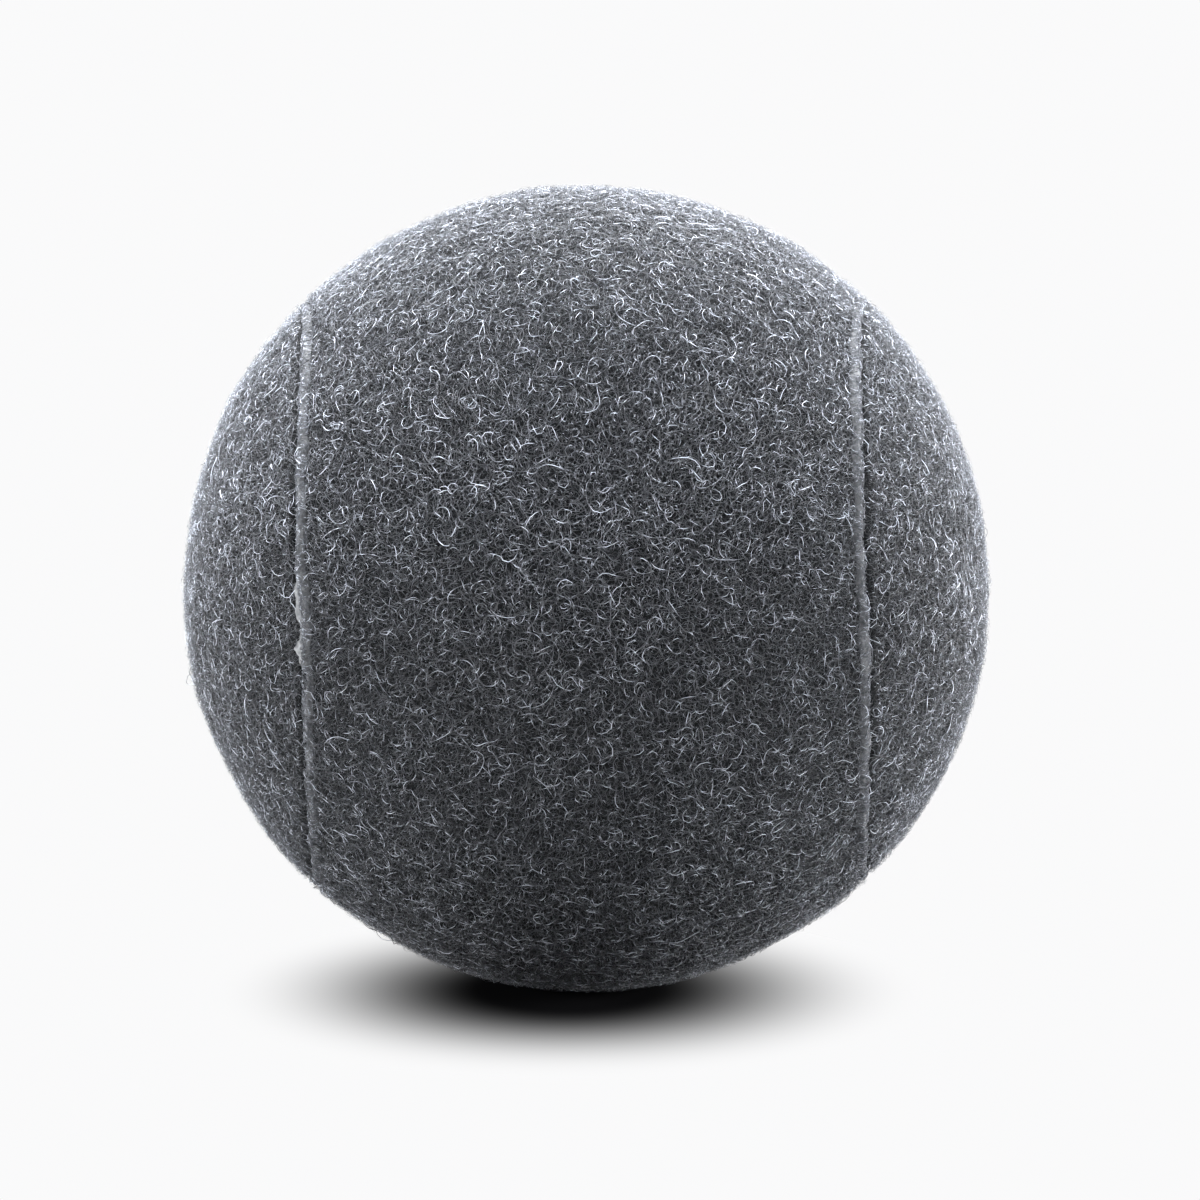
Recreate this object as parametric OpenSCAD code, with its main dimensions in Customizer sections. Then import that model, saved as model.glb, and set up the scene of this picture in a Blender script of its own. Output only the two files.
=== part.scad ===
// Tennis ball: a hollow rubber core moulded in two half shells, a cover of two alike felt panels
// that lock round it, and the bead of rubber cement that closes the seam between them.

/* [Ball] */
// Diameter of the whole ball over the nap
ball_d = 65.53; // [60:0.01:75]
// Depth of the flat that the nap takes where the ball rests
rest_depth = 0.5; // [0.2:0.1:0.8]

/* [Core] */
// Wall of the two moulded rubber half shells
core_wall = 3.6; // [2.8:0.1:5]
// Bevel on the outer edge of each half shell's rim
rim_bevel = 0.6; // [0.3:0.1:1.2]
// Thickness of the adhesive film between the two rims
bond_t = 0.3; // [0.1:0.05:0.6]
// Radius of the adhesive bead that is squeezed out inside the core
bond_bead_r = 0.7; // [0.4:0.1:1.5]
// Thickness of the rubber coat that bonds the cover to the core
coat_t = 0.15; // [0.1:0.05:0.4]

/* [Cover] */
// Thickness of the felt, from its backing to the crest of the nap
felt_t = 2.9; // [2:0.1:4]
// Radius of the nap where it rolls over into the seam
nap_roll_r = 0.9; // [0.4:0.1:1.5]

/* [Seam] */
// Width of the cement that fills the seam
seam_w = 0.7; // [0.4:0.05:1.6]
// Depth of the cement's crest below the crest of the nap
seam_drop = 0.5; // [0.2:0.05:1.2]

/* [Hidden] */
$fn = 180;
// Overrun of every cut and of every region that bounds a section
over = 1;
// Polar angle of the seam's four half circles. At 45 degrees each one runs on into the next
// without a corner, and the two panels that they part are the same piece.
seam_polar = 45;

// Radii of the shells that nest in each other, from the outside inwards
ball_r = ball_d / 2;
backing_r = ball_r - felt_t;
core_r = backing_r - coat_t;
hollow_r = core_r - core_wall;
reach = ball_r + over;
// Height of the ball's centre over the surface that it rests on
centre_h = ball_r - rest_depth;

// The seam is drawn along a line that runs out from the ball's centre
seam_half_w = seam_w / 2;
crest_r = ball_r - seam_drop;
// Bevel on each side of the cement's crest, and how far its cut runs on past the crest
crest_bevel_share = 0.25;
crest_bevel = crest_bevel_share * seam_w;
bevel_over = crest_bevel / 2;

// Centre of the round that rolls the nap into the seam, beside the same line
roll_x = seam_half_w + nap_roll_r;
roll_y = sqrt(pow(ball_r - nap_roll_r, 2) - pow(roll_x, 2));
// The direction of that centre, carried out past the ball
roll_out = [roll_x, roll_y] * reach / (ball_r - nap_roll_r);

// Ring between two radii about the centre of the ball
module ring(inner, outer) {
    difference() {
        circle(r = outer);
        circle(r = inner);
    }
}

// Turn of a section through half a circle, on the side of +Y
module half_turn() {
    rotate_extrude(angle = 180) children();
}

// Dumbbell that wraps a ball, from half of its section, drawn to the right of the middle line
// that runs up the page. The section is turned all the way round X. On the side of +Y that leaves
// too much, and what lies outside the same section turned about Z is cut away.
module dumbbell() {
    difference() {
        rotate([0, 90, 0]) rotate_extrude() rotate(-90) {
            children();
            mirror([1, 0]) children();
        }
        half_turn() difference() {
            translate([0, -reach]) square([reach, 2 * reach]);
            children();
            mirror([0, 1]) children();
        }
    }
}

// Place of the dumbbell that locks into the first one: the same, turned over about a diagonal
module turned_over() {
    rotate(a = 180, v = [1, 0, 1]) children();
}

// What lies between the middle line of a dumbbell and the near side of the seam
module inside_seam(inner, outer) {
    intersection() {
        ring(inner, outer);
        square([reach, reach]);
        rotate(-seam_polar) translate([-seam_half_w - reach, 0]) square([reach, reach]);
    }
}

// Place of every piece, with the flat of the nap on the ground plane
module on_the_ground() {
    translate([0, 0, centre_h]) children();
}

// Groove that the two bevelled rims leave round the outside of the core
module rim_groove() {
    half_t = bond_t / 2;
    groove_x = core_r - rim_bevel;
    polygon([
        [groove_x, -half_t],
        [groove_x + reach, -half_t - reach],
        [groove_x + reach, half_t + reach],
        [groove_x, half_t]
    ]);
}

// Half shell above the parting plane: a bowl with a flat rim, bevelled on its outer edge
module half_shell() {
    rotate_extrude() difference() {
        intersection() {
            ring(hollow_r, core_r);
            translate([0, bond_t / 2]) square([reach, reach]);
        }
        rim_groove();
    }
}

module core_upper() {
    color("dimgray") on_the_ground() half_shell();
}

module core_lower() {
    color("dimgray") on_the_ground() mirror([0, 0, 1]) half_shell();
}

// Adhesive between the rims: the film, the fillet that fills the groove and the bead inside
module core_bond() {
    color("tan") on_the_ground() rotate_extrude() {
        intersection() {
            ring(hollow_r, core_r);
            union() {
                translate([0, -bond_t / 2]) square([reach, bond_t]);
                rim_groove();
            }
        }
        intersection() {
            circle(r = hollow_r);
            translate([hollow_r, 0]) circle(r = bond_bead_r);
        }
    }
}

module cover_cement() {
    color("wheat") on_the_ground() difference() {
        sphere(r = backing_r);
        sphere(r = core_r);
    }
}

// What a rolled edge takes off a square one, beside the line of the seam
module roll_waste() {
    difference() {
        polygon([
            [-roll_x, roll_y],
            [over, roll_y],
            [over, reach],
            [-roll_out[0], roll_out[1]]
        ]);
        translate([-roll_x, roll_y]) circle(r = nap_roll_r);
    }
}

// Felt panel: a waist half way round the ball on the side of -Y, and a lobe at each of its ends
module felt_panel() {
    dumbbell() difference() {
        inside_seam(backing_r, ball_r);
        rotate(-seam_polar) roll_waste();
    }
}

module felt_panel_front() {
    color([0.33, 0.34, 0.36]) difference() {
        on_the_ground() felt_panel();
        translate([-reach, -reach, -reach]) cube([2 * reach, 2 * reach, reach]);
    }
}

module felt_panel_rear() {
    color([0.33, 0.34, 0.36]) on_the_ground() turned_over() felt_panel();
}

// Section of all that lies on a panel's side of the cement, with the bevel over the cement's edge
module beside_cement() {
    inside_seam(backing_r - over, ball_r);
    intersection() {
        ring(backing_r - over, crest_r + bevel_over / 2);
        square([reach, reach]);
        rotate(-seam_polar) polygon([
            [-reach, 0],
            [-seam_half_w, 0],
            [-seam_half_w, crest_r - crest_bevel],
            [-seam_half_w + crest_bevel + bevel_over, crest_r + bevel_over],
            [-reach, crest_r + bevel_over]
        ]);
    }
}

// What the two panels leave of a shell that reaches up to the crest
module seam_cement() {
    color([0.62, 0.62, 0.6]) on_the_ground() difference() {
        difference() {
            difference() {
                sphere(r = crest_r);
                sphere(r = backing_r);
            }
            dumbbell() beside_cement();
        }
        turned_over() dumbbell() beside_cement();
    }
}

core_lower();
core_upper();
core_bond();
cover_cement();
felt_panel_front();
felt_panel_rear();
seam_cement();
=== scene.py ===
"""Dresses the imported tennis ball: two napped felt panels, the seam between them, and a white studio."""
import math

import bmesh
import bpy
import numpy as np
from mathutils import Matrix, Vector


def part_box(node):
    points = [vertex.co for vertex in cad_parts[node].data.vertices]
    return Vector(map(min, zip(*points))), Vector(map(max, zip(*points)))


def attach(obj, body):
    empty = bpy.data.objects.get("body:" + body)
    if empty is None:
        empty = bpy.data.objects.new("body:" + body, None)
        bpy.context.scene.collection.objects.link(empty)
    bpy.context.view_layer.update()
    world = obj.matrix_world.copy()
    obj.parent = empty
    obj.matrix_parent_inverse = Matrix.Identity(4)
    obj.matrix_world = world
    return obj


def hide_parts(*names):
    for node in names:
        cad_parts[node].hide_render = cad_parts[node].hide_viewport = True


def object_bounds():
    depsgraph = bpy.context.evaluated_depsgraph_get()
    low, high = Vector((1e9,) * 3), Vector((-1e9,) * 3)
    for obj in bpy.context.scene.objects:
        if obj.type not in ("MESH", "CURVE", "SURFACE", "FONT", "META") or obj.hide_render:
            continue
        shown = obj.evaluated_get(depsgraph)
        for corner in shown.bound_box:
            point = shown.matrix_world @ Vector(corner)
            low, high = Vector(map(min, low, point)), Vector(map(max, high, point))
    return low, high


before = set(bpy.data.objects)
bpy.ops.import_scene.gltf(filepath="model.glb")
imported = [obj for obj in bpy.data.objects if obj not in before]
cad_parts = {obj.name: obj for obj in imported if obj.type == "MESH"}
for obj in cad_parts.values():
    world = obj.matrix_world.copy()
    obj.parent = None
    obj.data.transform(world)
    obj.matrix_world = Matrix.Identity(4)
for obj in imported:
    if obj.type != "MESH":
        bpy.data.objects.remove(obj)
cad_lo, cad_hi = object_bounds()

# Ball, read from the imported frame. Lengths are in metres, and angles in radians if nothing else is said.
BALL_R = (cad_hi.x - cad_lo.x) / 2
CENTRE_Z = cad_hi.z - BALL_R
CENTRE = np.array([0.0, 0.0, CENTRE_Z])
coat_lo, coat_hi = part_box("cover_cement")
BACKING_R = (coat_hi.x - coat_lo.x) / 2

# Felt under the loose fibres: its radius, and the radius of the roll at its edge
BODY_R = BALL_R - 0.00040
ROLL_R = 0.00060
EDGE_R = BODY_R - ROLL_R
# Share of the felt's lumps that is lost where it rolls into the seam
EDGE_CALM = 0.5
# Lowest heights over the floor, where the ball is pressed flat: of a surface, and of a fibre's middle line
LOWEST = 0.00002
LOWEST_FIBRE = 0.00006

# Seam: its polar angle from the axis of its own half, how far the waist is narrower than that, and how
# late it widens again
SEAM_POLAR = math.radians(45)
WAIST_IN = math.radians(2.6)
FLARE_POWER = 8
# How this ball's seam strays from that: a slow tilt, a step that the panels share, and a ripple of two
# waves
SEAM_TILT = math.radians(0.42)
SEAM_STEP = math.radians(0.5)
STEP_AT = math.radians(6)
STEP_LONG = math.radians(3.5)
SEAM_RIPPLE = math.radians(0.12)
SLOW_RIPPLES = 23
FAST_RIPPLES = 41

# Gap from the middle of the seam to the felt, on the side of a waist and on the side of a lobe, and how
# late the two come to be the same
WAIST_GAP = 0.00020
LOBE_GAP = 0.00040
GAP_POWER = 6
# How ragged the felt's edge is over long and short stretches, and how far in the mesh gives way to it
EDGE_RAGGED = 0.00007
EDGE_FRAYED = 0.00004
EDGE_REACH = 0.004

# Bead of the seam: half its width, the radius of its crest, how both vary along it, and how far beside
# the seam a point is tested for the side that it lies on
BEAD_HALF = 0.00027
BEAD_CREST_R = BALL_R - 0.00016
BEAD_VARIES = 0.00004
CREST_VARIES_SLOWLY = 0.00004
CREST_VARIES_FAST = 0.00003
PROBE = 0.002
# Skin of the bead: its grain, its specks, and the depth below the crest down to which it is rough
SKIN_GRAIN = 0.00004
SKIN_SPECK = 0.00002
SKIN_DEPTH = 0.0005
# Bulges of the bead on the front half's left side: angle up from the middle and spread, both in degrees,
# and size
BULGES = ((5.4, 4.4, 0.00100), (-3.9, 3.3, 0.00095), (18.5, 2.2, 0.0003))
BULGE_POWER = 4
BULGE_RAGGED = 0.3
# Share of a bulge's size that its top rises and its outer edge sinks, and the size that doubles its grain
BULGE_RISE = 0.05
BULGE_SINK = 0.28
BULGE_ROUGH = 0.0006
# Half of the bead's cross-section: place across in half widths, and depth below the crest
HALF_PROFILE = (
    (0.12, 0.0),
    (0.36, 0.00002),
    (0.58, 0.00005),
    (0.76, 0.00010),
    (0.9, 0.00018),
    (0.99, 0.0003),
    (1.03, 0.0006),
    (1.05, 0.0020),
)

# Ground of the loose fibres over the seam: the groove's floor, the bead over it, and the bead's flank
GROOVE_R = BALL_R - 0.0006
BEAD_OVER_GROOVE = 0.00046
BEAD_FLANK = 0.0002

# Meshes: rows and columns of the panels and sections of the bead
BAND_ROWS = 301
LOBE_ROWS = 151
BACKING_COLUMNS = 9
BEAD_SECTIONS = 1500
SAME_PLACE = 1e-6
SAME_BEAD_PLACE = 1e-7
# Angles inside the seam, in degrees of the plain half circles: close together where the nap rolls over
EDGE_STEPS = (0, 0.25, 0.55, 0.95, 1.4, 1.95)
INNER_COLUMNS = 75

# Fibres: corners of their cross-section, how they taper, and the triangles that one piece may have
SIDES = 3
TAPER_POWER = 0.4
MOST_TRIANGLES = 199000
# How fibres are scattered: their shake in gaps between them, and the bare strip over the seam
SHAKE = 0.45
CLEAR_WAIST = 0.0001
CLEAR_LOBE = 0.0005
CLEAR_FADE = 0.0005
# Lint along the seam: points of the line that it is scattered from, and its spread to both sides
LINT_LINE = 3000
LINT_SPREAD = 0.00024
# How fibres curl: the size and number of their waves, how they bob, and how a free end leans over
WAVER = 0.5
WAVES = 1.3
BOB = 0.2
FREE_LEAN = 1.15
# How long and how pale most fibres are, as beta distributions between the least and the most
LENGTH_BETA = (1.6, 2.6)
SHADE_BETA = (1.1, 2.2)
# How a fibre's shade varies: with the felt's tufts, from its ends to its middle as painted shade that
# darkens the ends where they dive into the nap, and point by point at random, with painted glints at a few
# points
TUFT_SHADE = 0.05
END_PAINTED_SHADE = 0.55
SHADE_POWER = 0.7
GLINT = (0.6, 1.3)
PAINTED_GLINT = 1.0

# Photograph's frame: its side, and the ball's middle and radius in its pixels
FRAME_PX = 1200
BALL_X_PX = 586.75
BALL_Y_PX = 588.2
BALL_RADIUS_PX = 401.5
CAMERA_AWAY = 16 * BALL_R
CAMERA_AZIMUTH = math.radians(0.7)
CAMERA_ELEVATION = math.radians(8)
CAMERA_CLIP = 0.01
SENSOR_MM = 36

# Studio: white of the backdrop, side of the floor, and light from all round
WHITE = (0.955, 0.955, 0.96, 1)
FLOOR_SIDE = 8
ROOM_LIGHT = 0.05
# Painted shadow that the floor shows to the camera: its colour, where it starts and ends, and its place
# and stretch
PAINTED_SHADOW = (0.015, 0.015, 0.0165, 1)
SHADOW_FROM = 0.0065
SHADOW_TO = 0.030
SHADOW_STRETCH = (1.0, 0.87, 1.0)
SHADOW_SHIFT = (0.0015, 0.0049, 0.0)
# Floor that lights the ball from below: painted shade makes it dark near the ball, and further out in
# front of it
NEAR_FLOOR_PAINTED_SHADE = (0.01, 0.01, 0.01)
FAR_FLOOR = (0.6, 0.6, 0.6)
NEAR_FROM = 0.031
NEAR_TO = 0.055
NEAR_STRETCH = (1.0, 0.55, 1.0)
# Half the angle of the front lamp's beam, and the share of it that fades out
BEAM_HALF = math.radians(3.0)
BEAM_FADE = 0.5

QUARTER = np.pi / 2
TINY = 1e-9
# Points that a field works on at a time
CHUNK = 50000


def unit(v):
    """Vectors made one long."""
    return v / np.linalg.norm(v, axis=-1, keepdims=True)


class Field:
    """Smooth random field of about unit spread: a sum of plane waves with random directions."""

    def __init__(self, seed, size, count=40, spread=0.5):
        rng = np.random.default_rng(seed)
        lengths = size * np.exp(rng.uniform(-spread, spread, count))
        self.waves = unit(rng.normal(size=(count, 3))) * (2 * np.pi / lengths)[:, None]
        self.phases = rng.uniform(0, 2 * np.pi, count)
        self.gain = math.sqrt(2 / count)

    def __call__(self, points):
        flat = points.reshape(-1, 3)
        parts = []
        for k in range(0, len(flat), CHUNK):
            angle = (flat[k:k + CHUNK] @ self.waves.T + self.phases).astype(np.float32)
            parts.append(np.sin(angle).sum(1))
        return (np.concatenate(parts) * self.gain).reshape(points.shape[:-1])


# The felt's own lumps, from broad swells to pits, and how high each kind stands
TUFTS = Field(13, 0.0021)
FELT_LUMPS = ((Field(11, 0.016), 0.00006), (Field(12, 0.0055), 0.00005), (TUFTS, 0.00003),
              (Field(14, 0.0011), 0.00002))
EDGE = Field(15, 0.004)
EDGE_FINE = Field(16, 0.0013)
# Unevenness and skin of the bead
BEAD_ROUGH = Field(31, 0.006)
BEAD_FINE = Field(32, 0.0018)
BEAD_GRAIN = Field(33, 0.0012)
BEAD_SPECK = Field(34, 0.0006)


def split(d):
    """The half that a direction lies in and its angles there: whether it is the front half, the part
    along the half's own axis, the part across it, the polar angle and the angle round the axis."""
    front = d[..., 1] < 0
    along = np.where(front, d[..., 0], d[..., 2])
    across = np.where(front, d[..., 2], d[..., 0])
    polar = np.arccos(np.clip(np.abs(along), 0, 1))
    turn = np.arctan2(across, np.abs(d[..., 1]))
    return front, along, across, polar, turn


def at_polar(d, moved):
    """Directions turned to another polar angle in their own half."""
    front, along, across, polar, turn = split(d)
    shrink = np.sin(moved) / np.maximum(np.sin(polar), TINY)
    along = np.sign(along) * np.cos(moved)
    across = across * shrink
    parts = (np.where(front, along, across), d[..., 1] * shrink, np.where(front, across, along))
    return np.stack(parts, -1)


def seam_polar(front, along, turn):
    """Polar angle of the seam at an angle round the axis of its half."""
    t = np.clip(np.abs(turn) / QUARTER, 0, 1)
    stray = SEAM_TILT * np.sin(turn) + SEAM_STEP * np.tanh((turn - STEP_AT) / STEP_LONG)
    slow = np.sin(turn * SLOW_RIPPLES + np.sign(along))
    fast = np.sin(turn * FAST_RIPPLES + 2 * front)
    ripple = SEAM_RIPPLE * (slow + fast)
    return SEAM_POLAR + (WAIST_IN + np.sign(along) * stray + ripple) * (1 - t**FLARE_POWER)


def to_real(d):
    """Directions on a ball whose seam is four plain half circles, moved to where they are on this one."""
    front, along, across, polar, turn = split(d)
    seam = seam_polar(front, along, turn)
    inside = polar * seam / SEAM_POLAR
    outside = QUARTER - (QUARTER - polar) * (QUARTER - seam) / (QUARTER - SEAM_POLAR)
    return at_polar(d, np.where(polar < SEAM_POLAR, inside, outside))


def shifted(real, shift, waist):
    """Directions moved away from the seam by a length on the ball, towards a waist or a lobe."""
    polar = split(real)[3]
    return at_polar(real, polar + np.where(waist, 1, -1) * shift / BALL_R)


def from_seam(d):
    """Distance of a direction from the seam in metres on the ball, more than 0 towards a waist."""
    front, along, across, polar, turn = split(d)
    return (polar - seam_polar(front, along, turn)) * BALL_R


def is_front(d):
    """Whether a direction lies on the front panel."""
    return (from_seam(d) > 0) == (d[..., 1] < 0)


def near_middle(d):
    """1 in the middle of a half, and 0 where one half meets the other."""
    turn = split(d)[4]
    return 1 - np.clip(np.abs(turn) / QUARTER, 0, 1) ** GAP_POWER


def felt_gap(d, waist):
    """Distance from the middle of the seam to the felt that stands on one side of it."""
    middle = (WAIST_GAP + LOBE_GAP) / 2
    side = np.where(waist, WAIST_GAP, LOBE_GAP) - middle
    ragged = EDGE_RAGGED * EDGE(d * BALL_R) + EDGE_FRAYED * EDGE_FINE(d * BALL_R)
    return middle + side * near_middle(d) + ragged


def felt_radius(d):
    """Radius of the felt under the loose fibres."""
    away = from_seam(d)
    short = np.clip(felt_gap(d, away > 0) + ROLL_R - np.abs(away), 0, ROLL_R)
    drop = ROLL_R - np.sqrt(ROLL_R**2 - short**2)
    lumps = sum(height * field(d * BALL_R) for field, height in FELT_LUMPS)
    return BODY_R - drop + lumps * (1 - EDGE_CALM * short / ROLL_R)


def nap_ground(d):
    """Radius of what the loose fibres lie on: the felt, or the crest of the bead over the seam."""
    over = np.clip((BEAD_HALF + BEAD_FLANK - np.abs(from_seam(d))) / BEAD_FLANK, 0, 1)
    return np.maximum(felt_radius(d), GROOVE_R + over * BEAD_OVER_GROOVE)


def on_floor(points, lowest=LOWEST):
    """Points kept above the floor that the ball stands on."""
    points[..., 2] = np.maximum(points[..., 2], lowest)
    return points


def welded(name, verts, faces, distance):
    """Object made from arrays of vertices and of four-cornered faces. Vertices that lie at the same
    place are joined, and all faces are turned outwards."""
    mesh = bpy.data.meshes.new(name)
    mesh.from_pydata(verts.tolist(), [], faces.tolist())
    mesh.validate()
    bm = bmesh.new()
    bm.from_mesh(mesh)
    bmesh.ops.remove_doubles(bm, verts=bm.verts, dist=distance)
    bmesh.ops.dissolve_degenerate(bm, edges=bm.edges, dist=distance)
    bmesh.ops.recalc_face_normals(bm, faces=bm.faces)
    bm.to_mesh(mesh)
    bm.free()
    mesh.shade_smooth()
    obj = bpy.data.objects.new(name, mesh)
    bpy.context.collection.objects.link(obj)
    return obj


def grid_faces(rows, columns, start):
    """Faces of a grid of vertices, row by row."""
    i, j = np.meshgrid(np.arange(rows - 1), np.arange(columns - 1), indexing="ij")
    a = (start + i * columns + j).ravel()
    return np.stack([a, a + 1, a + columns + 1, a + columns], -1)


def band(width):
    """Directions of a panel's waist half way round the ball, in rows across it."""
    phi = np.linspace(0, np.pi, BAND_ROWS)[:, None]
    parts = (np.sin(width), -np.cos(width) * np.sin(phi), np.cos(width) * np.cos(phi))
    return np.stack(np.broadcast_arrays(*parts), -1)


def lobe(polar, up):
    """Directions of the half round lobe at the waist's upper end, or at its lower one where up is -1."""
    phi = np.linspace(0, np.pi, LOBE_ROWS)[:, None]
    parts = (np.sin(polar) * np.cos(phi), np.sin(polar) * np.sin(phi), up * np.cos(polar))
    return np.stack(np.broadcast_arrays(*parts), -1)


def placed(d, turned):
    """Directions of a plain panel, moved to this ball's felt, whose edge stands off the seam's middle."""
    if turned:
        d = np.stack([d[..., 2], -d[..., 1], d[..., 0]], -1)
    real = to_real(d)
    waist = (real[..., 1] < 0) != turned
    shift = felt_gap(real, waist) * np.clip(1 - np.abs(from_seam(real)) / EDGE_REACH, 0, 1)
    return shifted(real, shift, waist)


def felt_panel(name, turned):
    """One felt panel: its face, the roll of the nap at its edge, the cut wall and the backing."""
    verts = []
    faces = []

    def add(real, radius):
        start = sum(len(part) for part in verts)
        verts.append(on_floor(CENTRE + real * radius[..., None]).reshape(-1, 3))
        faces.append(grid_faces(*radius.shape, start))

    def add_face(d, steps):
        real = placed(d, turned)
        radius = felt_radius(real)
        add(real, np.where(steps == 0, np.minimum(radius, EDGE_R), radius))

    def add_backing(d, steps):
        add(placed(d, turned), np.full(d.shape[:2], BACKING_R))

    def add_wall(d):
        real = placed(d, turned)
        top = np.minimum(felt_radius(real), EDGE_R)
        levels = np.stack([top, (top + BACKING_R) / 2, np.full(top.shape, BACKING_R)], -1)
        add(real[:, None, :], levels)

    inner = np.linspace(EDGE_STEPS[-1], 45, INNER_COLUMNS + 1)[1:]
    face_steps = np.radians(np.concatenate([EDGE_STEPS, inner]))
    backing_steps = np.radians(np.linspace(0, 45, BACKING_COLUMNS))
    for steps, add_part in ((face_steps, add_face), (backing_steps, add_backing)):
        side = SEAM_POLAR - steps
        both = np.concatenate([-side, side[-2::-1]])
        add_part(band(both), np.concatenate([steps, steps[-2::-1]]))
        for up in (1, -1):
            add_part(lobe(side, up), steps)
    for side in (-1, 1):
        add_wall(band(np.array([side * SEAM_POLAR]))[:, 0])
        add_wall(lobe(np.array([SEAM_POLAR]), side)[:, 0])
    return welded(name, np.concatenate(verts), np.concatenate(faces), SAME_PLACE)


def seam_line(count):
    """Directions along the closed seam, count of them on each of its four half circles."""
    c = math.sqrt(0.5)
    t = np.linspace(0, np.pi, count, endpoint=False)
    run = np.cos(t) * c
    out = np.sin(t) * c
    parts = []
    for side in (1, -1):
        flat = np.full(count, side * c)
        parts.append(np.stack([flat, -out, side * run], -1))
        parts.append(np.stack([side * run, out, -flat], -1))
    return to_real(np.concatenate(parts))


def bulge_sizes(d):
    """How far the bead bulges out over the lobe beside it, along the seam."""
    front, along, across, polar, turn = split(d)
    out = np.zeros(len(d))
    for at, spread, size in BULGES:
        bump = np.exp(-(((np.degrees(turn) - at) / spread) ** BULGE_POWER))
        out += np.where(front & (along < 0), size * bump, 0)
    return out * (1 + BULGE_RAGGED * BEAD_GRAIN(d * BALL_R))


def seam_bead(name):
    """Closed bead of cured rubber, with a rounded crest and an uneven width."""
    d = seam_line(BEAD_SECTIONS)
    along = unit(np.roll(d, -1, 0) - np.roll(d, 1, 0))
    across = unit(np.cross(along, d))
    # Across points towards the waist on every stretch
    to_waist = from_seam(unit(d + across * PROBE)) > 0
    across = np.where(to_waist[:, None], across, -across)
    p = d * BALL_R
    back = p[:, ::-1]
    half = BEAD_HALF + BEAD_VARIES * BEAD_ROUGH(p) + BEAD_VARIES * BEAD_FINE(p)
    crest = BEAD_CREST_R + CREST_VARIES_SLOWLY * BEAD_ROUGH(back) + CREST_VARIES_FAST * BEAD_FINE(back)
    out = bulge_sizes(d)
    rings = []
    profile = [(-wide, low) for wide, low in reversed(HALF_PROFILE)] + list(HALF_PROFILE)
    for wide, low in profile:
        outer = (1 - wide) / 2
        radius = np.maximum(crest - low + BULGE_RISE * out - BULGE_SINK * out * outer**2, BACKING_R)
        ring = d * radius[:, None] + across * (wide * half - out * outer)[:, None]
        if low < SKIN_DEPTH:
            skin = SKIN_GRAIN * BEAD_GRAIN(ring) + SKIN_SPECK * BEAD_SPECK(ring)
            ring = ring + unit(ring) * (skin * (1 + out / BULGE_ROUGH))[:, None]
        rings.append(CENTRE + ring)
    verts = on_floor(np.stack(rings, 1))
    n, m = verts.shape[:2]
    i, j = np.meshgrid(np.arange(n), np.arange(m), indexing="ij")
    on = (i + 1) % n
    beside = (j + 1) % m
    faces = np.stack([i * m + j, i * m + beside, on * m + beside, on * m + j], -1).reshape(-1, 4)
    return welded(name, verts.reshape(-1, 3), faces, SAME_BEAD_PLACE)


def tube_faces(points):
    """Triangles of one closed fibre: a point at each end, and a ring at each place between them."""
    last = 1 + SIDES * (points - 3)
    tip = last + SIDES
    faces = []
    for k in range(SIDES):
        n = (k + 1) % SIDES
        faces.append([0, 1 + n, 1 + k])
        for a in range(1, last, SIDES):
            faces.append([a + k, a + n, a + SIDES + n])
            faces.append([a + k, a + SIDES + n, a + SIDES + k])
        faces.append([last + k, last + n, tip])
    return np.array(faces)


def tubes(name, line, thick, shade):
    """One mesh of closed three-sided fibres. line holds their middle lines, thick their radii and
    shade a number from 0 to 1 for each point of each line."""
    count, points = line.shape[:2]
    out = unit(line - CENTRE)
    along = unit(np.gradient(line, axis=1))
    side = unit(np.cross(along, out))
    up = np.cross(side, along)
    share = np.sin(np.linspace(0, np.pi, points))[1:-1] ** TAPER_POWER
    rings = []
    for k in range(SIDES):
        angle = QUARTER + k * 2 * math.pi / SIDES
        ray = side[:, 1:-1] * math.cos(angle) + up[:, 1:-1] * math.sin(angle)
        rings.append(line[:, 1:-1] + ray * (thick[:, None] * share)[..., None])
    ring = np.stack(rings, 2).reshape(count, -1, 3)
    verts = on_floor(np.concatenate([line[:, :1], ring, line[:, -1:]], 1))
    tones = np.concatenate([shade[:, :1], np.repeat(shade[:, 1:-1], SIDES, 1), shade[:, -1:]], 1)
    starts = np.arange(count) * verts.shape[1]
    tris = (starts[:, None, None] + tube_faces(points)).reshape(-1, 3)
    mesh = bpy.data.meshes.new(name)
    mesh.vertices.add(verts.shape[0] * verts.shape[1])
    mesh.vertices.foreach_set("co", verts.ravel())
    mesh.loops.add(tris.size)
    mesh.loops.foreach_set("vertex_index", tris.ravel().astype(np.int32))
    mesh.polygons.add(len(tris))
    mesh.polygons.foreach_set("loop_start", np.arange(0, tris.size, 3, dtype=np.int32))
    mesh.update(calc_edges=True)
    mesh.shade_smooth()
    tone = mesh.attributes.new("shade", "FLOAT", "POINT")
    tone.data.foreach_set("value", tones.ravel().astype(np.float32))
    obj = bpy.data.objects.new(name, mesh)
    bpy.context.collection.objects.link(obj)
    return obj


def scatter(rng, count):
    """Directions spread evenly over the ball and shaken, left out over the seam."""
    k = np.arange(count) + 0.5
    z = 1 - 2 * k / count
    angle = k * math.pi * (3 - math.sqrt(5))
    wide = np.sqrt(1 - z**2)
    spiral = np.stack([np.cos(angle) * wide, np.sin(angle) * wide, z], -1)
    gap = math.sqrt(4 * math.pi / count)
    d = unit(spiral + rng.normal(size=(count, 3)) * gap * SHAKE)
    away = from_seam(d)
    clear = np.where(away > 0, away - CLEAR_WAIST, -away - CLEAR_LOBE)
    chance = np.clip(clear / CLEAR_FADE, 0, 1)
    return d[rng.uniform(size=count) < chance]


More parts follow.
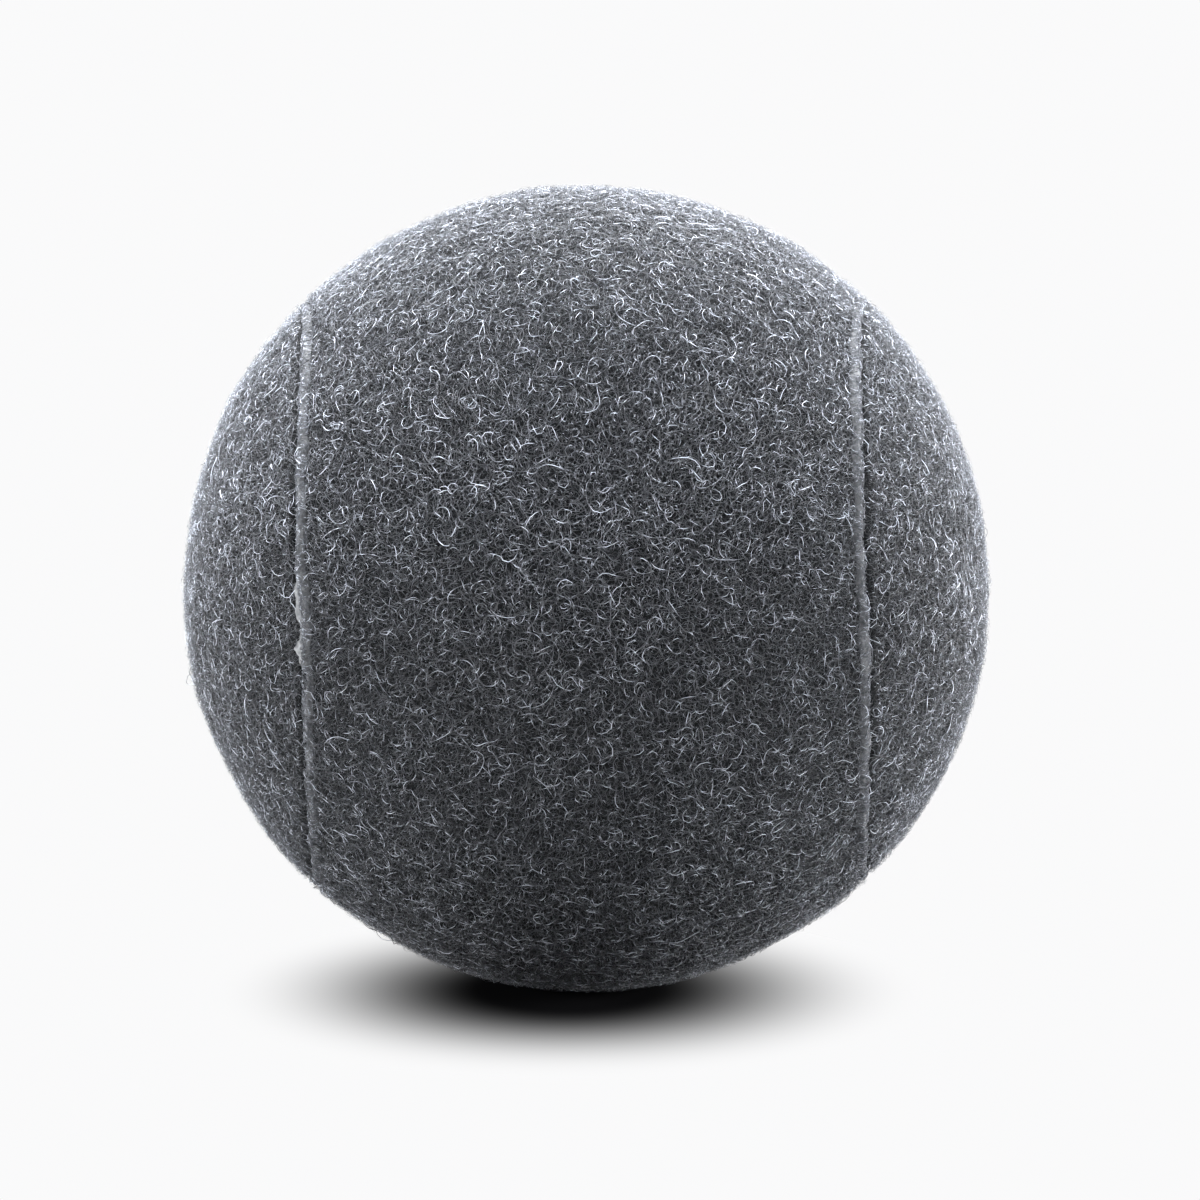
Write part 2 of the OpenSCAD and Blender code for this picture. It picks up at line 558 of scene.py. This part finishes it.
def along_seam(rng, count):
    """Random directions close to the seam."""
    line = seam_line(LINT_LINE)
    d = line[rng.integers(0, len(line), count)]
    return unit(d + rng.normal(size=(count, 3)) * LINT_SPREAD / BALL_R)


def fibre_lines(rng, d, length, bend, low, steep, points, free):
    """Middle lines of curled fibres. Each one rises out of the nap at the angle steep and dives back
    into it, or stands up from it with a free end."""
    count = len(d)
    helper = unit(rng.normal(size=(count, 3)))
    t1 = unit(np.cross(d, helper))
    t2 = np.cross(d, t1)
    s = (np.arange(points - 1) + 0.5) / (points - 1)
    waver = rng.normal(size=(count, 1)) * WAVER
    phase = rng.uniform(0, 2 * np.pi, (count, 1))
    heading = bend[:, None] * (s - 0.5) + waver * np.sin(2 * np.pi * s * WAVES + phase)
    rise = 1 - FREE_LEAN * s if free else np.cos(np.pi * s)
    lift = steep[:, None] * rise + BOB * rng.normal(size=(count, 1)) * np.sin(2 * np.pi * s + phase)
    step = length[:, None] / (points - 1)

    def path(rate):
        return np.concatenate([np.zeros((count, 1)), np.cumsum(rate * step, 1)], 1)

    x = path(np.cos(heading) * np.cos(lift))
    y = path(np.sin(heading) * np.cos(lift))
    height = low[:, None] + path(np.sin(lift))
    x -= x.mean(1, keepdims=True)
    y -= y.mean(1, keepdims=True)
    flat = d[:, None] * BALL_R + t1[:, None] * x[..., None] + t2[:, None] * y[..., None]
    out = unit(flat)
    return on_floor(CENTRE + out * (nap_ground(out) + height)[..., None], LOWEST_FIBRE)


def nap(name, seed, count, points, length, turn, low, rise, radius, shade, painted_glint_share, free=False,
        spread=scatter):
    """Pieces of one kind of fibre, by whether they are on the front panel. length, turn, low (the height
    over the felt at which a fibre starts), rise (in degrees), radius and shade are each given as the
    least and the most."""
    rng = np.random.default_rng(seed)
    d = spread(rng, count)
    count = len(d)
    lengths = length[0] + (length[1] - length[0]) * rng.beta(*LENGTH_BETA, count)
    bends = rng.uniform(*turn, count) * rng.choice([-1, 1], count)
    lows = rng.uniform(*low, count)
    rises = np.radians(rng.uniform(*rise, count))
    line = fibre_lines(rng, d, lengths, bends, lows, rises, points, free)
    radii = rng.uniform(*radius, count)
    shades = shade[0] + (shade[1] - shade[0]) * rng.beta(*SHADE_BETA, count)
    shades = shades * (1 + TUFT_SHADE * TUFTS(d * BALL_R))
    # Painted shade: each fibre is darker towards its ends, where they dive into the nap
    painted_end_shade = END_PAINTED_SHADE + (1 - END_PAINTED_SHADE) * np.sin(np.linspace(0, np.pi, points)) ** SHADE_POWER
    # Point by point the tone varies at random, and a share of the points gets painted glints: far paler
    # spots that stand for highlights
    tone_and_painted_glint = rng.uniform(*GLINT, (count, points)) + PAINTED_GLINT * (rng.uniform(size=(count, points)) < painted_glint_share)
    shades = np.clip(shades[:, None] * painted_end_shade * tone_and_painted_glint, 0, 1)
    most = MOST_TRIANGLES // len(tube_faces(points))
    made = {True: [], False: []}
    belongs = is_front(d)
    for front, word in ((True, "front"), (False, "rear")):
        index = np.flatnonzero(belongs == front)
        for k, part in enumerate(np.array_split(index, math.ceil(len(index) / most))):
            made[front].append(tubes(f"{name}_{word}_{k + 1}", line[part], radii[part], shades[part]))
    return made


front_panel = felt_panel("felt_front", False)
rear_panel = felt_panel("felt_rear", True)
bead = seam_bead("seam_bead")
# Kinds of fibre, each with a share of its points that carry painted glints
kinds = (
    # The underfur is made darker than the fibres over it, as painted shade deep in the nap
    nap("underfur", seed=20, count=16000, points=4, length=(0.0008, 0.0018), turn=(0.1, 1.6),
        low=(-0.00008, 0.00004), rise=(0, 12), radius=(0.000024, 0.000034), shade=(0.0, 0.25), painted_glint_share=0.0),
    nap("nap", seed=21, count=56000, points=5, length=(0.0010, 0.0034), turn=(0.2, 3.2),
        low=(0.0, 0.00014), rise=(0, 12), radius=(0.000026, 0.000036), shade=(0.0, 0.92), painted_glint_share=0.09),
    nap("curl", seed=22, count=11000, points=9, length=(0.0018, 0.0050), turn=(1.5, 6.0),
        low=(0.0001, 0.00020), rise=(0, 8), radius=(0.000023, 0.000031), shade=(0.5, 0.85), painted_glint_share=0.3),
    nap("fuzz", seed=23, count=230000, points=3, length=(0.0005, 0.0013), turn=(0.2, 1.0),
        low=(0.0, 0.0001), rise=(72, 90), radius=(0.000012, 0.000017), shade=(0.62, 0.88), painted_glint_share=0.0,
        free=True),
    nap("lint", seed=24, count=12000, points=4, length=(0.0004, 0.0011), turn=(0.2, 2.4),
        low=(0.0, 0.0001), rise=(0, 25), radius=(0.000018, 0.000028), shade=(0.5, 0.9), painted_glint_share=0.02,
        spread=along_seam),
)
front_nap = [piece for kind in kinds for piece in kind[True]]
rear_nap = [piece for kind in kinds for piece in kind[False]]


class Look:
    """Nodes of one material or of the world, put together by short calls. Where a value may come from
    another node, it is given as that node's output."""

    def __init__(self, tree):
        self.nodes = tree.nodes
        self.links = tree.links

    def give(self, socket, value):
        """A value or another node's output, given to a socket."""
        if isinstance(value, bpy.types.NodeSocket):
            self.links.new(value, socket)
        else:
            socket.default_value = value

    def place(self):
        """The object's own coordinates."""
        return self.nodes.new("ShaderNodeTexCoord").outputs["Object"]

    def camera_ray(self):
        """1 for what the camera sees itself, and 0 for all light on its way."""
        return self.nodes.new("ShaderNodeLightPath").outputs["Is Camera Ray"]

    def math(self, operation, *values):
        """Math over outputs or plain numbers."""
        made = self.nodes.new("ShaderNodeMath")
        made.operation = operation
        for socket, value in zip(made.inputs, values):
            self.give(socket, value)
        return made.outputs[0]

    def vector(self, operation, *values):
        """Vector math over outputs or plain vectors."""
        made = self.nodes.new("ShaderNodeVectorMath")
        made.operation = operation
        for socket, value in zip(made.inputs, values):
            self.give(socket, value)
        return made.outputs["Value" if operation == "LENGTH" else "Vector"]

    def noise(self, place, scale, detail, distortion=0.0):
        """Noise texture at a place."""
        made = self.nodes.new("ShaderNodeTexNoise")
        made.noise_type = "FBM"
        self.give(made.inputs["Vector"], place)
        self.give(made.inputs["Scale"], scale)
        self.give(made.inputs["Detail"], detail)
        self.give(made.inputs["Distortion"], distortion)
        return made.outputs["Fac"]

    def slope(self, value, start, end, first=0.0, last=1.0, kind="SMOOTHSTEP"):
        """Soft change from first to last while a value goes from start to end."""
        made = self.nodes.new("ShaderNodeMapRange")
        made.interpolation_type = kind
        self.give(made.inputs["Value"], value)
        self.give(made.inputs["From Min"], start)
        self.give(made.inputs["From Max"], end)
        self.give(made.inputs["To Min"], first)
        self.give(made.inputs["To Max"], last)
        return made.outputs["Result"]

    def ramp(self, value, stops):
        """Colour ramp over pairs of place and colour."""
        made = self.nodes.new("ShaderNodeValToRGB")
        elements = made.color_ramp.elements
        while len(elements) < len(stops):
            elements.new(0.5)
        for element, (place, tone) in zip(elements, stops):
            element.position = place
            element.color = (*tone, 1)
        self.give(made.inputs["Fac"], value)
        return made.outputs["Color"]

    def bump(self, height, strength, distance):
        """Bumped normal."""
        made = self.nodes.new("ShaderNodeBump")
        self.give(made.inputs["Strength"], strength)
        self.give(made.inputs["Distance"], distance)
        self.give(made.inputs["Height"], height)
        return made.outputs["Normal"]

    def diffuse(self, colour):
        """Plain matt shader."""
        made = self.nodes.new("ShaderNodeBsdfDiffuse")
        self.give(made.inputs["Color"], colour)
        return made.outputs[0]

    def mixed(self, share, first, second):
        """Shader that goes from the first to the second."""
        made = self.nodes.new("ShaderNodeMixShader")
        self.give(made.inputs["Fac"], share)
        self.give(made.inputs[1], first)
        self.give(made.inputs[2], second)
        return made.outputs[0]


def material(name):
    """New node material, its nodes and the inputs of its shader."""
    made = bpy.data.materials.new(name)
    made.use_nodes = True
    return made, Look(made.node_tree), made.node_tree.nodes["Principled BSDF"].inputs


# Strands in the felt under the loose fibres: offset and scale of each layer, and their width and curl
FELT_STRANDS = (((0.0, 0.0, 0.0), 2100), ((0.3, 0.1, 0.2), 2500), ((0.7, 0.5, 0.1), 1700),
                ((0.2, 0.9, 0.6), 3000))
STRAND_WIDTH = 0.05
STRAND_CURL = 0.8
# Gaps in the strands: scale of their noise against the strands' own, its gain and its offset
GAP_SCALE = 0.9
GAP_GAIN = 3.0
GAP_OFFSET = -0.9
# How much finer the grain of rubber is than its blots
RUBBER_GRAIN = 9


def strands(look, place, offset, scale):
    """Thin curling lines with gaps in them: where a smooth noise passes through its middle."""
    moved = look.vector("ADD", place, offset)
    waves = look.noise(moved, scale, detail=1, distortion=STRAND_CURL)
    off = look.math("ABSOLUTE", look.math("SUBTRACT", waves, 0.5))
    line = look.slope(off, 0.0, STRAND_WIDTH, first=1.0, last=0.0)
    gaps = look.noise(moved, scale * GAP_SCALE, detail=1)
    return look.math("MULTIPLY", line, look.math("MULTIPLY_ADD", gaps, GAP_GAIN, GAP_OFFSET))


def felt_material():
    """Felt that shows between the loose fibres, with strands of its own, made nearly black as painted
    shade deep in the nap.
    """
    made, look, shader = material("felt_body")
    place = look.place()
    layers = [strands(look, place, offset, scale) for offset, scale in FELT_STRANDS]
    total = layers[0]
    for layer in layers[1:]:
        total = look.math("MAXIMUM", total, layer)
    blots = look.noise(place, scale=520, detail=2)
    tone = look.math("MULTIPLY", total, look.math("ADD", blots, 0.35))
    # Painted shade: the felt under the loose fibres is far darker than the fibres, standing for the shade
    # between them
    colour = look.ramp(tone, [
        (0.0, (0.003, 0.0032, 0.0036)),
        (0.35, (0.008, 0.0085, 0.0095)),
        (1.0, (0.028, 0.0297, 0.0334)),
    ])
    look.give(shader["Base Color"], colour)
    look.give(shader["Normal"], look.bump(tone, strength=0.9, distance=0.00007))
    look.give(shader["Roughness"], 0.9)
    look.give(shader["Specular IOR Level"], 0.1)
    look.give(shader["Sheen Weight"], 0.05)
    look.give(shader["Sheen Roughness"], 0.5)
    return made


def fibre_material():
    """Grey fibres, each as dark or pale as its own shade says, with a slow drift over the ball. The shade
    holds painted shade at the fibres' ends and painted glints, and the palest stop of the ramp serves the
    glints as well as the palest fibres.
    """
    made, look, shader = material("felt_fibre")
    shade = look.nodes.new("ShaderNodeAttribute")
    shade.attribute_name = "shade"
    drift = look.noise(look.place(), scale=260, detail=2)
    tone = look.math("MULTIPLY_ADD", drift, 0.15, shade.outputs["Fac"])
    colour = look.ramp(tone, [
        (0.05, (0.004, 0.0042, 0.0048)),
        (0.5, (0.07, 0.074, 0.083)),
        (0.8, (0.18, 0.19, 0.213)),
        (1.0, (0.8, 0.85, 0.95)),
    ])
    look.give(shader["Base Color"], colour)
    look.give(shader["Roughness"], 0.4)
    look.give(shader["Specular IOR Level"], 0.6)
    return made


def rubber_material(name, dark, light, roughness, scale):
    """Rubber that varies between two tones, with a fine grain."""
    made, look, shader = material(name)
    place = look.place()
    blots = look.noise(place, scale, detail=4)
    grain = look.noise(place, scale * RUBBER_GRAIN, detail=3)
    look.give(shader["Base Color"], look.ramp(blots, [(0.3, dark), (0.7, light)]))
    look.give(shader["Normal"], look.bump(grain, strength=0.4, distance=0.00004))
    look.give(shader["Roughness"], roughness)
    return made


felt = felt_material()
fibre = fibre_material()
seam_rubber = rubber_material("seam_rubber_look", dark=(0.125, 0.129, 0.133), light=(0.25, 0.256, 0.26),
                              roughness=0.8, scale=2200)
core_rubber = rubber_material("core_rubber_look", dark=(0.028, 0.028, 0.03), light=(0.045, 0.045, 0.047),
                              roughness=0.75, scale=300)
bond_rubber = rubber_material("bond_rubber_look", dark=(0.36, 0.28, 0.17), light=(0.47, 0.38, 0.24),
                              roughness=0.5, scale=300)

NODE_RUBBERS = {"core_lower": core_rubber, "core_upper": core_rubber, "core_bond": bond_rubber,
                "cover_cement": bond_rubber}
for node, rubber in NODE_RUBBERS.items():
    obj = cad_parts[node]
    if not obj.material_slots:
        obj.data.materials.append(rubber)
    for slot in obj.material_slots:
        slot.material = rubber

front_panel.data.materials.append(felt)
rear_panel.data.materials.append(felt)
bead.data.materials.append(seam_rubber)
for piece in front_nap + rear_nap:
    piece.data.materials.append(fibre)

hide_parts("felt_panel_front")
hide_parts("felt_panel_rear")
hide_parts("seam_cement")
for piece in [front_panel, rear_panel] + front_nap + rear_nap:
    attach(piece, "root")
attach(bead, "root")


def floor():
    """White floor that shows a painted shadow under the ball to the camera, and whose colour for light on
    its way is darkened near the ball by painted shade, so it throws back little light from close to the
    ball.
    """
    bpy.ops.mesh.primitive_plane_add(size=FLOOR_SIDE, location=(0, 0, 0))
    obj = bpy.context.object
    obj.name = "floor"
    made = bpy.data.materials.new("floor_look")
    made.use_nodes = True
    look = Look(made.node_tree)
    look.nodes.remove(look.nodes["Principled BSDF"])
    place = look.place()

    white = look.nodes.new("ShaderNodeEmission")
    look.give(white.inputs["Color"], WHITE)
    # Painted shadow: a dark diffuse patch round the ball that fades into the white, seen by the camera
    # only
    from_painted_shadow = look.vector("LENGTH", look.vector("MULTIPLY_ADD", place, SHADOW_STRETCH, SHADOW_SHIFT))
    share = look.slope(from_painted_shadow, SHADOW_FROM, SHADOW_TO, kind="SMOOTHERSTEP")
    seen = look.mixed(share, look.diffuse(PAINTED_SHADOW), white.outputs[0])

    # Painted shade: the floor's colour for light on its way is dark near the ball
    from_ball = look.vector("LENGTH", look.vector("MULTIPLY", place, NEAR_STRETCH))
    far = look.slope(from_ball, NEAR_FROM, NEAR_TO)
    unseen = look.diffuse(look.ramp(far, [(0.0, NEAR_FLOOR_PAINTED_SHADE), (1.0, FAR_FLOOR)]))

    both = look.mixed(look.camera_ray(), unseen, seen)
    look.give(look.nodes["Material Output"].inputs["Surface"], both)
    obj.data.materials.append(made)


def room():
    """Faint even light from all round, and the white that the camera sees behind the ball."""
    world = bpy.data.worlds.new("studio")
    bpy.context.scene.world = world
    world.use_nodes = True
    look = Look(world.node_tree)
    soft = look.nodes["Background"]
    look.give(soft.inputs["Color"], (1, 1, 1, 1))
    look.give(soft.inputs["Strength"], ROOM_LIGHT)
    plain = look.nodes.new("ShaderNodeBackground")
    look.give(plain.inputs["Color"], WHITE)
    both = look.mixed(look.camera_ray(), soft.outputs[0], plain.outputs[0])
    look.give(look.nodes["World Output"].inputs["Surface"], both)


def aimed(name, data, place):
    """Lamp at its place, turned towards the ball's middle."""
    obj = bpy.data.objects.new(name, data)
    bpy.context.collection.objects.link(obj)
    obj.location = place
    aim = Vector((0, 0, CENTRE_Z)) - Vector(place)
    obj.rotation_euler = aim.to_track_quat("-Z", "Y").to_euler()


def lamp(name, place, size, power, tint=(1, 1, 1)):
    """Square lamp."""
    data = bpy.data.lights.new(name, "AREA")
    data.shape = "SQUARE"
    data.size = size
    data.energy = power
    data.color = tint
    aimed(name, data, place)


def spot(name, place, size, power):
    """Round lamp whose beam is about as wide as the ball."""
    data = bpy.data.lights.new(name, "SPOT")
    data.shadow_soft_size = size
    data.energy = power
    data.spot_size = 2 * BEAM_HALF
    data.spot_blend = BEAM_FADE
    aimed(name, data, place)


def camera():
    """Camera that sees the ball where the photograph has it, and as large."""
    data = bpy.data.cameras.new("camera")
    obj = bpy.data.objects.new("camera", data)
    bpy.context.collection.objects.link(obj)
    back = Vector((
        math.sin(CAMERA_AZIMUTH) * math.cos(CAMERA_ELEVATION),
        -math.cos(CAMERA_AZIMUTH) * math.cos(CAMERA_ELEVATION),
        math.sin(CAMERA_ELEVATION),
    ))
    obj.location = Vector((0, 0, CENTRE_Z)) + back * CAMERA_AWAY
    obj.rotation_euler = (-back).to_track_quat("-Z", "Y").to_euler()
    focal_px = BALL_RADIUS_PX * math.sqrt(CAMERA_AWAY**2 - BALL_R**2) / BALL_R
    data.sensor_width = SENSOR_MM
    data.lens = focal_px / FRAME_PX * SENSOR_MM
    data.shift_x = (FRAME_PX / 2 - BALL_X_PX) / FRAME_PX
    data.shift_y = (BALL_Y_PX - FRAME_PX / 2) / FRAME_PX
    data.clip_start = CAMERA_CLIP
    bpy.context.scene.camera = obj


floor()
room()
lamp("lamp_top", place=(-0.01, 0.12, 0.6), size=0.4, power=26, tint=(0.965, 0.99, 1.035))
lamp("lamp_back", place=(0.0, 0.45, 0.36), size=0.4, power=0.6)
lamp("lamp_left", place=(-0.5, 0.04, 0.02), size=0.2, power=3.8)
lamp("lamp_right", place=(0.5, 0.04, 0.02), size=0.2, power=6.6)
spot("lamp_front", place=(-0.12, -0.58, 0.012), size=0.02, power=9.7)
camera()
bpy.context.scene.view_settings.view_transform = "Standard"
